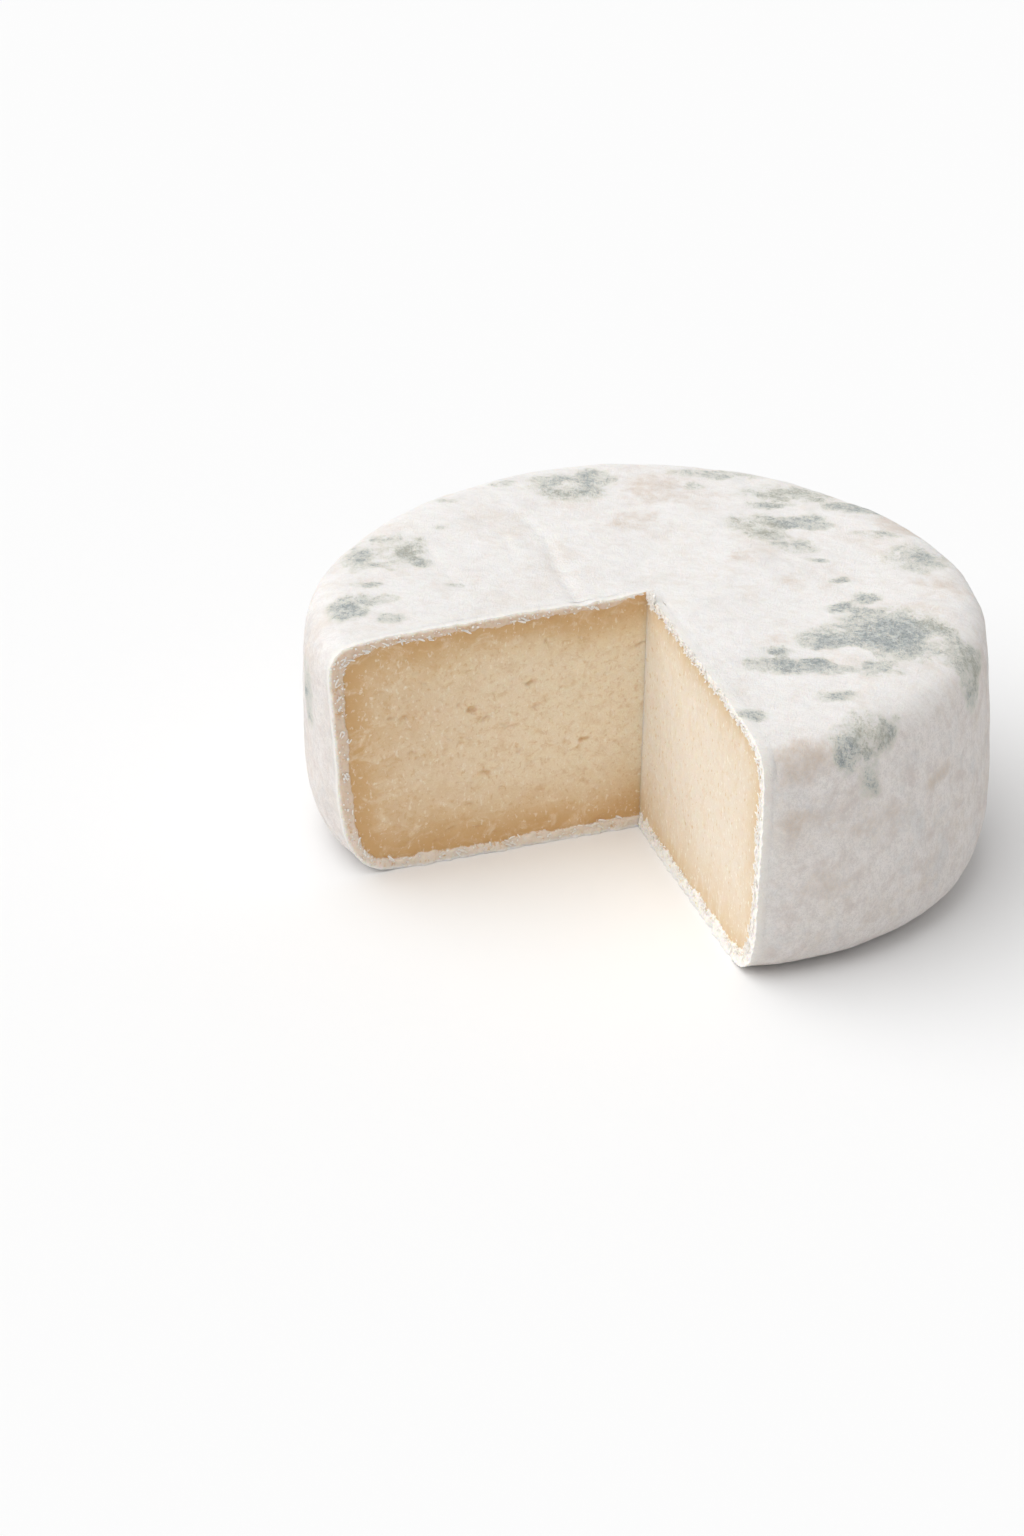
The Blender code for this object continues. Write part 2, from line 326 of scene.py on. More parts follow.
for cut in (RIGHT_CUT, LEFT_CUT):
    pick(rind, "verts", in_section(cut))
    bpy.ops.mesh.edge_face_add()
bpy.ops.mesh.select_all(action="SELECT")
bpy.ops.mesh.normals_make_consistent(inside=False)
bpy.ops.object.mode_set(mode="OBJECT")
print("the closed drum has", len(rind.data.polygons), "faces")

# %% Work the drum into the wheel, and stand its ends back from the cuts
CUT_BACK = 2.2 * MM
CUT_BACK_REACH = 9.0 * MM


def into_notch(cut):
    """The level direction in which a cut face looks, as x and y."""
    side = -1.0 if cut == RIGHT_CUT else 1.0
    return side * np.array([-math.sin(cut), math.cos(cut)])


def nearness(places, cut, reach):
    """1 on a cut, 0 at a distance behind it, for each place."""
    along = places[:, :2] @ [math.cos(cut), math.sin(cut)]
    radius = np.hypot(places[:, 0], places[:, 1])
    gap = np.where(along > 0, np.abs(places[:, :2] @ into_notch(cut)), radius)
    return np.clip(1 - gap / reach, 0.0, 1.0)


def stand_back(places):
    """Moves the ends of the skin back from the cuts, and squeezes what is behind them to make room."""
    moved = places.copy()
    for cut in (RIGHT_CUT, LEFT_CUT):
        moved[:, :2] -= np.outer(CUT_BACK * nearness(places, cut, CUT_BACK_REACH), into_notch(cut))
    return moved


drum = points_of(rind)
drum_radius = np.hypot(drum[:, 0], drum[:, 1])
section = rounded(drum_radius / RIM_RADIUS, drum[:, 2] / HEIGHT)
wheel = worked(section[:, 0], section[:, 1], np.arctan2(drum[:, 1], drum[:, 0]))
put_points(rind, stand_back(wheel))
print("the skin is", (np.ptp(wheel, axis=0) / MM).round(1), "mm over all")

# %% [markdown]
# ## The skin's own relief
#
# Mould grows as a felt over the curd. It wrinkles where the paste under it shrinks, it keeps the soft dents
# of hands and racks, and the wall has faint upright folds. Most of it is a quarter of a millimetre high, and
# is worked into the mesh. What is finer than the mesh is left to the bump in the finish.

# %% Wrinkles, dents and creases
CREASES = (
    (0.75, ((-19.0, -8.5), (-24.1, 6.7), (-27.7, 18.8), (-29.2, 30.0), (-32.9, 40.0), (-48.1, 68.2))),
    (0.35, ((-66.0, 27.0), (-60.5, 13.0), (-56.8, 2.7))),
    (0.3, ((-40.0, 22.0), (-44.0, 38.0), (-54.0, 52.0))),
)
CREASE_WIDTH = 2.2
CREASE_FADE = (8.0, 75.0)
CREASE_LOSS = 0.65
WRINKLE = 0.22 * MM
TOP_WRINKLE_LENGTH, WALL_WRINKLE_LENGTH = 5.0 * MM, 6.5 * MM
DENT, DENT_LENGTH = 0.26 * MM, 11.0 * MM
PEBBLE, PEBBLE_LENGTH = 0.12 * MM, 3.2 * MM
FLOOR_EASE = 4.0 * MM
FLAT_FROM = (0.86, 0.98)


def as_photographed(places):
    """The places as millimetres right of the notch's corner, away from the camera, and up."""
    right = places @ [math.cos(CAMERA_AZIMUTH), math.sin(CAMERA_AZIMUTH), 0.0]
    away = places @ [-math.sin(CAMERA_AZIMUTH), math.cos(CAMERA_AZIMUTH), 0.0]
    return np.stack([right, away, places[:, 2]], axis=1) / MM


def creases(places):
    """The depth in millimetres of the soft folds that run over the top, strongest where they start."""
    seen = as_photographed(places)[:, :2]
    total = np.zeros(len(seen))
    for depth, line in CREASES:
        nearest = np.full(len(seen), np.inf)
        for start, end in zip(line[:-1], line[1:]):
            run = np.subtract(end, start)
            share = np.clip((seen - start) @ run / (run @ run), 0.0, 1.0)
            nearest = np.minimum(nearest, np.linalg.norm(seen - start - np.outer(share, run), axis=1))
        fade = 1 - CREASE_LOSS * smooth_step(np.linalg.norm(seen - line[0], axis=1), *CREASE_FADE)
        total += depth * fade * np.exp(-((nearest / CREASE_WIDTH) ** 2))
    return total


def skin_relief(places):
    """How far the skin stands out at each place."""
    up = places[:, 2] / HEIGHT
    flat = smooth_step(up, *FLAT_FROM)
    angle = np.arctan2(places[:, 1], places[:, 0])
    turned = np.stack([places @ [0.8, -0.6, 0.0], 0.25 * places @ [0.6, 0.8, 0.0], 0 * up], axis=1)
    rolled = np.stack([np.cos(angle), np.sin(angle), 0.12 * up], axis=1) * RIM_RADIUS
    folds = flat * waves(turned, TOP_WRINKLE_LENGTH) + (1 - flat) * waves(rolled, WALL_WRINKLE_LENGTH)
    relief = WRINKLE * folds + DENT * waves(places, DENT_LENGTH) + PEBBLE * crags(places, PEBBLE_LENGTH)
    relief -= flat * creases(places) * MM
    return relief * smooth_step(places[:, 2], 0.0, FLOOR_EASE)


relief = skin_relief(wheel)
put_points(rind, points_of(rind) + points_of(rind, "normal") * relief[:, None])
print("skin relief from", (relief.min() / MM).round(2), "to", (relief.max() / MM).round(2), "mm")

# %% [markdown]
# ## Where the mould grows
#
# The colonies of blue-grey mould are placed as ellipses, because each wheel has its own. A row gives
# the middle of one in the directions of the photograph, as millimetres right of the notch's corner and away
# from the camera, then its half widths and its strength. The longer rows also give the height, and a half
# width and a half height. Each vertex stores how deep it is in a colony. The finish then breaks the edges up
# with fine noise, which is how the real growth looks.

# %% Colonies, bare islands in them, olive growth and stains
TOP_MOULD = (
    (70.8, -24.1, 15.0, 13.0, 1.0),
    (53.3, -28.1, 8.5, 6.6, 0.9),
    (43.9, -44.2, 15.5, 5.0, 0.9),
    (64.4, -45.4, 6.5, 5.0, 0.75),
    (80.5, -22.0, 8.0, 7.0, 0.85),
    (63.9, -1.3, 4.2, 3.2, 0.8),
    (57.1, -7.2, 4.0, 3.0, 0.8),
    (64.3, -10.5, 5.0, 3.0, 0.75),
    (37.2, -35.8, 4.0, 2.8, 0.75),
    (46.1, 69.9, 13.5, 6.5, 0.6),
    (35.5, 70.7, 5.5, 5.0, 0.5),
    (39.0, 60.8, 7.0, 2.8, 0.8),
    (44.6, 49.8, 10.0, 6.5, 0.75),
    (29.3, 47.8, 5.5, 5.5, 0.5),
    (37.2, 40.2, 6.5, 5.0, 0.6),
    (43.8, 32.1, 6.5, 4.0, 0.5),
    (64.8, 61.0, 10.5, 4.0, 0.8),
    (69.0, 41.5, 9.0, 2.2, 0.4),
    (51.5, 23.4, 2.6, 1.9, 0.85),
    (56.9, 11.9, 2.4, 1.7, 0.65),
    (80.7, 26.6, 8.0, 8.6, 0.65),
    (22.2, 83.9, 13.0, 4.0, 0.55),
    (14.4, 73.4, 3.0, 2.4, 0.65),
    (-23.4, 71.6, 10.5, 8.6, 0.75),
    (-16.0, 79.0, 6.5, 5.5, 0.7),
    (-86.0, 22.0, 4.0, 9.5, 0.62),
    (-78.0, 33.0, 8.0, 3.6, 0.5),
    (-71.3, 24.0, 5.0, 7.5, 0.75),
    (-68.0, 17.5, 4.0, 3.0, 0.65),
    (-80.0, 14.5, 7.5, 3.0, 0.42),
    (-87.9, -14.0, 5.0, 6.5, 0.85),
    (-80.5, -8.6, 6.5, 3.4, 0.6),
    (-73.4, -20.7, 4.2, 2.8, 0.62),
    (-81.8, 1.5, 4.2, 2.2, 0.55),
    (-76.5, 24.0, 9.0, 9.0, 0.3),
    (-56.2, 1.4, 4.0, 1.2, 0.5),
    (-61.6, 41.1, 3.2, 2.4, 0.42),
    (-61.2, 61.2, 4.5, 3.0, 0.42),
    (52.4, -62.5, 5.0, 3.2, 0.7),
    (27.9, -75.5, 5.0, 3.2, 0.7),
    (-44.4, 74.1, 3.5, 2.0, 0.45),
)
TOP_BARE = (
    (56.4, -38.4, 5.6, 5.0, 1.3),
    (81.6, -27.0, 4.0, 3.0, 0.5),
    (44.0, -37.5, 3.5, 2.8, 0.7),
    (-23.4, 71.6, 4.0, 3.2, 0.5),
    (44.0, 56.1, 4.5, 3.2, 0.6),
    (47.5, 41.0, 3.4, 2.6, 0.6),
)
WALL_MOULD = (
    (60.0, -79.0, 70.0, 9.5, 5.5, 0.75),
    (53.5, -84.0, 68.5, 4.5, 4.0, 0.95),
    (66.0, -75.0, 71.0, 5.0, 3.5, 0.8),
    (61.7, -81.6, 60.6, 4.0, 6.0, 0.55),
    (92.1, -30.6, 72.8, 9.0, 5.5, 0.75),
    (93.1, -38.0, 66.5, 5.5, 6.0, 0.6),
    (-99.0, -19.4, 51.1, 4.0, 9.0, 0.75),
    (-80.0, 50.0, 67.0, 9.0, 6.0, 0.7),
    (-73.0, 61.0, 60.0, 4.5, 5.0, 0.45),
    (-37.0, 94.0, 57.0, 11.0, 6.0, 0.7),
    (-24.0, 97.0, 50.0, 6.0, 7.5, 0.5),
    (-48.0, 88.0, 64.0, 5.0, 4.0, 0.5),
    (-16.0, 99.0, 63.0, 3.0, 2.5, 0.5),
    (14.0, 98.0, 27.0, 6.0, 4.0, 0.4),
    (58.0, 81.0, 69.0, 12.0, 7.0, 0.7),
    (70.0, 72.0, 60.0, 5.0, 5.5, 0.5),
    (52.0, 85.0, 58.0, 3.5, 3.0, 0.45),
    (97.0, 22.0, 52.0, 7.0, 5.0, 0.5),
    (98.0, 12.0, 43.0, 4.0, 5.0, 0.35),
)
WALL_BARE = (
    (62.5, -77.5, 72.5, 4.2, 3.0, 0.35),
)
OLIVE = (
    (61.0, -78.0, 71.5, 6.0, 4.5, 1.0),
    (71.0, -70.0, 71.0, 4.5, 4.0, 0.8),
    (93.0, -31.0, 70.0, 7.0, 8.0, 0.8),
    (33.0, 45.0, 79.0, 8.0, 6.0, 0.9),
    (45.0, 70.0, 79.0, 11.0, 6.0, 0.7),
    (84.0, -17.0, 78.0, 6.0, 3.5, 0.7),
    (-72.0, 25.0, 78.0, 8.0, 9.0, 0.7),
    (-27.0, 66.0, 78.0, 6.0, 4.0, 0.6),
    (36.0, -40.0, 78.0, 3.0, 3.0, 0.6),
)
STAINS = (
    (76.3, 50.2, 78.3, 7.0, 4.0, 0.7),
    (43.4, 8.9, 77.8, 4.5, 4.0, 0.45),
    (29.7, 24.3, 78.9, 4.5, 4.0, 0.5),
    (-4.7, 48.3, 79.2, 8.0, 5.0, 0.5),
    (83.0, -60.5, 49.7, 6.5, 2.5, 0.9),
    (40.9, -92.5, 69.5, 8.0, 5.0, 0.85),
    (37.8, -28.5, 78.0, 4.0, 3.0, 0.5),
    (17.0, 63.3, 79.7, 9.0, 4.0, 0.4),
    (2.0, 70.0, 79.7, 10.0, 6.0, 0.5),
    (41.6, -94.7, 52.0, 9.0, 3.0, 0.5),
    (64.0, -80.0, 45.0, 13.0, 4.5, 0.4),
    (50.0, -90.0, 30.0, 10.0, 5.0, 0.45),
    (85.0, 10.0, 78.0, 6.0, 5.0, 0.45),
    (80.0, -8.0, 78.0, 6.0, 3.0, 0.5),
    (-70.0, 70.0, 40.0, 16.0, 7.0, 0.5),
    (20.0, 98.0, 45.0, 16.0, 8.0, 0.45),
    (95.0, 30.0, 25.0, 14.0, 6.0, 0.5),
)
MARK_WARP = 2.4 * MM
MARK_WARP_LENGTH = 6.0 * MM
WARP_SHIFT = 0.37
MARK_SPREAD = 1.55
TOP_MARKS_FROM = (66.0, 72.0)
EDGE_LIGHT_REACH = 7.0 * MM


def warped(places):
    """The places pushed about by noise, so that a mark put there gets an uneven outline."""
    shifts = [waves(places + WARP_SHIFT * (i + 1), MARK_WARP_LENGTH) for i in range(3)]
    return places + MARK_WARP * np.stack(shifts, axis=1)


def deepest(marks, distances):
    """For each place, its depth in the mark that holds it most: 1 in the middle, 0 at the edge or past it."""
    depth = np.zeros(len(distances[0]))
    for mark, distance in zip(marks, distances):
        depth = np.maximum(depth, mark[-1] * np.clip(MARK_SPREAD - distance, 0.0, 1.0))
    return depth


def on_top(marks, seen):
    """Depth in marks that lie on the upper surface."""
    distances = [
        np.hypot((seen[:, 0] - right) / half_right, (seen[:, 1] - away) / half_away)
        for right, away, half_right, half_away, _ in marks
    ]
    return deepest(marks, distances) * smooth_step(seen[:, 2], *TOP_MARKS_FROM)


def on_wall(marks, seen):
    """Depth in marks that lie on the wall or run over its edge."""
    distances = [
        np.sqrt(
            ((seen[:, 0] - right) ** 2 + (seen[:, 1] - away) ** 2) / wide**2 + ((seen[:, 2] - up) / high) ** 2
        )
        for right, away, up, wide, high, _ in marks
    ]
    return deepest(marks, distances)


def paint_marks(piece, places):
    """Paints how mouldy, olive, stained and near a cut each vertex of a piece is. Nearness to a cut drives
    painted light.
    """
    seen = as_photographed(warped(places))
    paint(piece, "edge", np.maximum(*(nearness(places, cut, EDGE_LIGHT_REACH) for cut in (RIGHT_CUT, LEFT_CUT))))
    mould = np.maximum(on_top(TOP_MOULD, seen), on_wall(WALL_MOULD, seen)) - on_top(TOP_BARE, seen)
    mould -= on_wall(WALL_BARE, seen)
    paint(piece, "mould", np.clip(mould, 0.0, 1.0))
    paint(piece, "olive", on_wall(OLIVE, seen))
    paint(piece, "stain", on_wall(STAINS, seen))
    return mould


mould = paint_marks(rind, stand_back(wheel))
print("mould covers", (100 * (mould > 0.3).mean()).round(1), "% of the skin's points")

# %% [markdown]
# ## The cut faces
#
# A knife leaves three things on a cut face: the rind in section, which crumbles and stands a little proud;
# smooth paste with slow waves of the blade; and the eyes that it opened. Each cut face is a sheet of small
# squares, thickened by extruding it a few times. While it is still flat and square it is easy to work on.
# Then it is laid on the wheel's section, so its border meets the skin all round.

# %% Sheets with a thickness
SHEET_ACROSS, SHEET_UP = 250, 195
SHEET_LAYERS = 4
SHEET_THICKNESS = 3.4 * MM
PAST_CORNER = 2.6 * MM


def flat_sheet(name):
    """A square sheet of fine squares, extruded layer by layer, with one face for its hidden back."""
    sheet = fresh(
        name,
        bpy.ops.mesh.primitive_grid_add,
        x_subdivisions=SHEET_ACROSS,
        y_subdivisions=SHEET_UP,
        size=1.0,
        location=(0.5, 0.5, 0.0),
    )
    bpy.ops.object.transform_apply(location=True, rotation=True, scale=True)
    open_up()
    for _ in range(SHEET_LAYERS):
        step = (0.0, 0.0, SHEET_THICKNESS / SHEET_LAYERS)
        bpy.ops.mesh.extrude_region_move(TRANSFORM_OT_translate={"value": step})
    pick(sheet, "faces", lambda face: face.calc_center_median().z < WELD)
    bpy.ops.mesh.dissolve_faces()
    bpy.ops.object.mode_set(mode="OBJECT")
    return sheet


sheets = {RIGHT_CUT: flat_sheet("right_cut_face"), LEFT_CUT: flat_sheet("left_cut_face")}
print("each sheet has", len(sheets[LEFT_CUT].data.polygons), "faces")


# %% Distance from the skin
OUTLINE_POINTS = 500


def outline_at(cut):
    """The section's outline at a cut as (along, up), with the way out of the cheese and the length so far."""
    share = np.linspace(0.0, 1.0, OUTLINE_POINTS)
    ends = np.vstack([top_line(share), wall_line(share[::-1]), foot_line(share[::-1])])
    places = worked(ends[:, 0], ends[:, 1], np.full(len(ends), cut))
    line = np.stack([np.hypot(places[:, 0], places[:, 1]), places[:, 2]], axis=1)
    run = np.gradient(line, axis=0)
    outward = np.stack([-run[:, 1], run[:, 0]], axis=1)
    outward /= np.maximum(np.linalg.norm(outward, axis=1, keepdims=True), 1e-9)
    return line, outward, np.concatenate([[0.0], np.cumsum(np.hypot(*np.diff(line, axis=0).T))])


def nearest_on(line, spots):
    """For each spot, the number of the nearest point of a line and the distance to it."""
    tree = kdtree.KDTree(len(line))
    for number, (along, up) in enumerate(line.tolist()):
        tree.insert((along, up, 0.0), number)
    tree.balance()
    found = [tree.find((along, up, 0.0)) for along, up in spots.tolist()]
    return np.array([item[1] for item in found]), np.array([item[2] for item in found])


# %% [markdown]
# ### Eyes and slits
#
# The larger eyes are placed where the photograph shows them. Between them a pressed paste has many
# small slits, which lie flat on one cut and upright on the other, as the knife dragged them. Those are drawn
# at random from a fixed seed. All depths are taken at one share, so that they can be eased together.

# %% Pits: along the cut, up, half length, half height, depth in millimetres, and tilt in degrees
LEFT_EYES = (
    (55.4, 48.6, 2.1, 1.35, 1.5, 12),
    (76.5, 49.6, 2.4, 1.0, 1.0, 0),
    (81.0, 50.2, 2.0, 0.9, 0.9, -8),
    (50.7, 44.9, 2.3, 1.0, 1.1, 20),
    (37.0, 54.0, 2.9, 1.2, 1.4, 4),
    (19.3, 32.6, 2.6, 1.1, 1.4, -6),
    (40.0, 31.8, 2.0, 0.9, 0.9, 25),
    (50.7, 26.7, 3.0, 1.4, 1.3, 0),
    (73.9, 37.0, 2.2, 1.0, 0.9, 10),
    (2.6, 61.0, 1.9, 0.8, 1.1, 32),
    (42.9, 40.7, 2.8, 0.8, 0.8, 15),
    (59.6, 50.5, 1.5, 0.8, 0.8, 0),
    (55.6, 17.3, 1.8, 0.7, 0.9, 10),
    (61.6, 9.8, 2.4, 0.6, 0.8, 4),
    (52.7, 9.1, 2.2, 0.6, 0.8, 0),
    (31.9, 66.6, 1.5, 0.8, 0.8, 0),
    (84.5, 59.0, 2.2, 0.9, 0.7, 10),
    (70.5, 59.5, 2.0, 0.7, 0.6, -12),
    (35.0, 46.5, 2.6, 0.7, 0.8, 8),
    (44.5, 42.0, 2.4, 0.7, 0.8, -10),
    (25.5, 51.0, 3.2, 0.8, 0.6, -14),
    (22.0, 45.0, 2.6, 0.8, 0.6, 10),
    (29.0, 31.5, 2.8, 0.8, 0.5, 12),
    (35.5, 28.0, 2.2, 0.7, 0.5, 18),
)
RIGHT_EYES = (
    (48.0, 44.0, 1.0, 0.6, 0.7, 60),
    (33.0, 36.0, 0.8, 0.5, 0.5, 80),
    (70.0, 30.0, 0.9, 0.6, 0.6, 70),
    (26.0, 24.0, 1.0, 0.5, 0.6, 80),
)
SLITS = {LEFT_CUT: 190, RIGHT_CUT: 190}
SLIT_LENGTH = {LEFT_CUT: (0.5, 1.7), RIGHT_CUT: (0.35, 0.9)}
SLIT_HEIGHT = {LEFT_CUT: (0.2, 0.42), RIGHT_CUT: (0.25, 0.45)}
SLIT_DEPTH = (0.2, 0.55)
SLIT_TILT = {LEFT_CUT: 8.0, RIGHT_CUT: 84.0}
SLIT_TILT_SPREAD = 16.0
SLITS_ALONG = (5.0, 92.0)
SLITS_UP = (6.0, 72.0)
PIT_SHARE = 0.65
PIT_EDGE = 1.3
PIT_RAGGED, PIT_RAGGED_LENGTH = 0.7, 2.2 * MM
PIT_SEED = 11


def slits(cut):
    """Small pits strewn over a cut face, fewer of them large."""
    draw = random.Random(PIT_SEED + round(cut * 100))
    for _ in range(SLITS[cut]):
        small = draw.random() ** 2
        yield (
            draw.uniform(*SLITS_ALONG),
            draw.uniform(*SLITS_UP),
            SLIT_LENGTH[cut][0] + small * np.ptp(SLIT_LENGTH[cut]),
            draw.uniform(*SLIT_HEIGHT[cut]),
            SLIT_DEPTH[0] + small * np.ptp(SLIT_DEPTH),
            SLIT_TILT[cut] + draw.gauss(0.0, SLIT_TILT_SPREAD),
        )


def pit_depth(spots, pits):
    """How deep the pits go at each spot of a cut face, in metres. Their outlines are a little ragged."""
    flat = np.column_stack([spots, np.zeros(len(spots))])
    ragged = np.stack([crags(flat + shift, PIT_RAGGED_LENGTH, 3) for shift in (0.0, 5.0)], axis=1)
    spots = spots / MM + PIT_RAGGED * ragged
    depth = np.zeros(len(spots))
    for along, up, half_length, half_height, deep, tilt in pits:
        away = spots - [along, up]
        cos, sin = math.cos(math.radians(tilt)), math.sin(math.radians(tilt))
        lengthwise = (-away[:, 0] * cos + away[:, 1] * sin) / half_length
        upright = (away[:, 0] * sin + away[:, 1] * cos) / half_height
        pit = PIT_SHARE * deep * (1 - smooth_step(np.hypot(lengthwise, upright), 0.0, PIT_EDGE))
        depth = np.maximum(depth, pit)
    return depth * MM


# %% [markdown]
# ### Relief of the cut
#
# The rind's inner border is ragged at several scales at once. The signed distance to that border, in
# millimetres, is stored on the vertices, so that the finish can turn from rind to paste on the same line, and
# darken the ripe paste just inside it.

# %% Rind in section, paste, and the torn lip
RIND_THICKNESS = {
    LEFT_CUT: {"top": 2.6 * MM, "wall": 4.2 * MM, "foot": 3.6 * MM},
    RIGHT_CUT: {"top": 2.6 * MM, "wall": 4.4 * MM, "foot": 4.7 * MM},
}
FLAKY = 0.22 * MM
FLAKY_REACH = (22.0 * MM, 48.0 * MM)
DRAG = {LEFT_CUT: (0.45, 1.0), RIGHT_CUT: (1.0, 0.6)}
RIND_PROUD = 0.35 * MM
LIP = {LEFT_CUT: 0.3 * MM, RIGHT_CUT: 0.42 * MM}
LIP_ON_WALL = 0.2
LIP_SUNK = 0.03 * MM
CORNER_EASE = 2.5 * MM
FILLET = 0.12 * MM
FRAYED = {LEFT_CUT: 0.15, RIGHT_CUT: 1.0}
CRUMBLED = {LEFT_CUT: 0.3, RIGHT_CUT: 0.55}
RAGGED = ((0.8, 19.0), (0.8, 6.0), (0.5, 2.7))
FRINGE = ((1.5, 1.3), (1.1, 2.9))
FRINGE_LOW = 0.4
FIBRE_STRETCH = 0.3
THIN_AT_CORNER = {LEFT_CUT: 0.1, RIGHT_CUT: 0.9}
THIN_REACH = (2.0 * MM, 15.0 * MM)
FOOT_BULGE = 0.7 * MM
FOOT_BULGE_HEIGHT = 6.0 * MM
WALL_FROM = (0.84 * RIM_RADIUS, 0.97 * RIM_RADIUS)
CRUST_STEP = (-0.15 * MM, 0.3 * MM)
RELIEF_DEPTH = 0.4 * MM
SKIN_REACH = 1.2 * MM
LOWEST = 0.08 * MM
TUCK_POWER = 40


def rind_border(cut, nearest, reached, gap, spots):
    """How thick the rind is beside each spot of a cut face. Its inner border is frayed into short fibres."""
    thickness = RIND_THICKNESS[cut]
    thin = THIN_AT_CORNER[cut] + (1 - THIN_AT_CORNER[cut]) * smooth_step(nearest[:, 0], *THIN_REACH)
    flat = np.where(nearest[:, 1] > HEIGHT / 2, thickness["top"] * thin, thickness["foot"])
    near_wall = smooth_step(nearest[:, 0], *WALL_FROM)
    deep = np.column_stack([spots, np.full(len(spots), 0.1 * cut)])
    ragged = sum(height * waves(deep, length * MM) for height, length in RAGGED)
    ragged += CRUMBLED[cut] * crags(deep, 2.0 * MM, 3)
    fibres = np.stack([reached, FIBRE_STRETCH * gap, np.full(len(gap), 0.1 * cut)], axis=1)
    fringe = sum(height * np.maximum(waves(fibres, length * MM), 0.0) for height, length in FRINGE)
    return flat + (thickness["wall"] - flat) * near_wall + (ragged + (fringe - FRINGE_LOW) * FRAYED[cut]) * MM


def shape_cut(cut, sheet, eyes):
    """Works a flat sheet into a cut face on the wheel."""
    flat = points_of(sheet)
    behind = SHEET_THICKNESS - flat[:, 2]
    share = rounded(flat[:, 0], flat[:, 1])
    level_cut = np.full(len(flat), cut)
    face = worked(share[:, 0], share[:, 1], level_cut)
    spots = np.stack([np.hypot(face[:, 0], face[:, 1]), face[:, 2]], axis=1)
    line, outward, reached = outline_at(cut)
    number, gap = nearest_on(line, spots)
    deep = np.column_stack([spots, np.full(len(spots), 0.1 * cut)])

    crust = rind_border(cut, line[number], reached[number], gap, spots) - gap
    in_crust = smooth_step(crust, *CRUST_STEP)
    crumbly = RIND_PROUD + (0.42 * crags(deep, 2.4 * MM) + 0.22 * waves(deep, 0.8 * MM)) * MM
    bulge = FOOT_BULGE * (1 - smooth_step(spots[:, 1], 0.0, FOOT_BULGE_HEIGHT))
    crumbly += bulge * (0.6 + waves(deep, 3.4 * MM))
    dragged = deep * (DRAG[cut][0], DRAG[cut][1], 1.0)
    knife = 0.3 * waves(deep, 26.0 * MM) + 0.24 * crags(dragged, 7.0 * MM) + 0.015 * crags(deep, 1.6 * MM)
    flaky = FLAKY * (1 - smooth_step(spots[:, 0], *FLAKY_REACH)) if cut == LEFT_CUT else 0.0
    knife = knife * MM + flaky * crags(dragged, 4.0 * MM)
    pits = pit_depth(spots, list(eyes) + list(slits(cut))) * (1 - in_crust)
    front = knife - pits + (crumbly - knife) * in_crust
    ease = smooth_step(spots[:, 0], 0.0, CORNER_EASE) * np.clip(1 - behind / RELIEF_DEPTH, 0.0, 1.0)

    torn = LIP[cut] * (0.6 + 0.6 * crags(deep, 2.0 * MM, 3)) * np.clip(1 - behind / CUT_BACK, 0.0, 1.0) ** 2
    torn *= LIP_ON_WALL + (1 - LIP_ON_WALL) * np.clip(outward[number, 1], 0.0, 1.0)
    sunk = LIP_SUNK * smooth_step(behind, 0.5 * MM, 2.0 * MM)
    skin = skin_relief(face) + (torn - sunk) * smooth_step(spots[:, 0], 0.0, CORNER_EASE)
    skin *= np.exp(-gap / SKIN_REACH)

    direction = np.array([math.cos(cut), math.sin(cut)])
    along = spots[:, 0] + outward[number, 0] * skin
    if cut == LEFT_CUT:
        along = along - PAST_CORNER * (1 - flat[:, 0]) ** TUCK_POWER
    fillet = FILLET * np.exp(-spots[:, 0] / FILLET) * np.clip(1 - behind / FILLET, 0.0, 1.0)
    out_from_face = ease * front + fillet - behind
    places = np.zeros_like(face)
    places[:, :2] = np.outer(along, direction) + np.outer(out_from_face, into_notch(cut))
    places[:, 2] = np.maximum(face[:, 2] + outward[number, 1] * skin, LOWEST)
    put_points(sheet, places)
    face_outwards(sheet)
    paint(sheet, "crust", crust / MM)
    paint(sheet, "under_skin", gap / MM)
    paint(sheet, "pit", np.clip(pits / MM, 0.0, 1.5))
    paint(sheet, "outward", spots[:, 0] / RIM_RADIUS)
    paint_marks(sheet, places)
    return (in_crust > 0.5).mean(), pits.max() / MM


for cut, eyes in ((LEFT_CUT, LEFT_EYES), (RIGHT_CUT, RIGHT_EYES)):
    rind_share, deepest_pit = shape_cut(cut, sheets[cut], eyes)
    print(sheets[cut].name, round(100 * rind_share), "% rind, deepest eye", round(deepest_pit, 2), "mm")

# %% [markdown]
# ## Torn slivers and crumbs
#
# The rind is tougher than the paste, so the knife tears it. Slivers of it stand along the edges of both cuts,
# and crumbs cling to the rind's section. One sliver and one crumb are modelled, by stretching and bending a
# small sphere, and copies are strewn along the outline of each cut from a fixed seed.

# %% One sliver and one crumb
SLIVER_LENGTH = 1.0 * MM
SLIVER_WIDTH = 0.24 * MM
CRUMB_RADIUS = 0.42 * MM
LUMP_ROUGH, LUMP_ROUGH_SHARE = 0.25, 0.7


def small_lump(name, size, bend):
    """A sphere of few faces, stretched to a size, bent along its length and roughened."""
    lump = fresh(name, bpy.ops.mesh.primitive_ico_sphere_add, subdivisions=2, radius=1.0)
    open_up()
    bpy.ops.transform.resize(value=size, center_override=(0.0, 0.0, 0.0))
    bpy.ops.object.mode_set(mode="OBJECT")
    places = points_of(lump)
    places[:, 2] += bend * (places[:, 0] / size[0]) ** 2
    places *= 1 + LUMP_ROUGH * waves(places / max(size), LUMP_ROUGH_SHARE)[:, None]
    put_points(lump, places)
    return lump


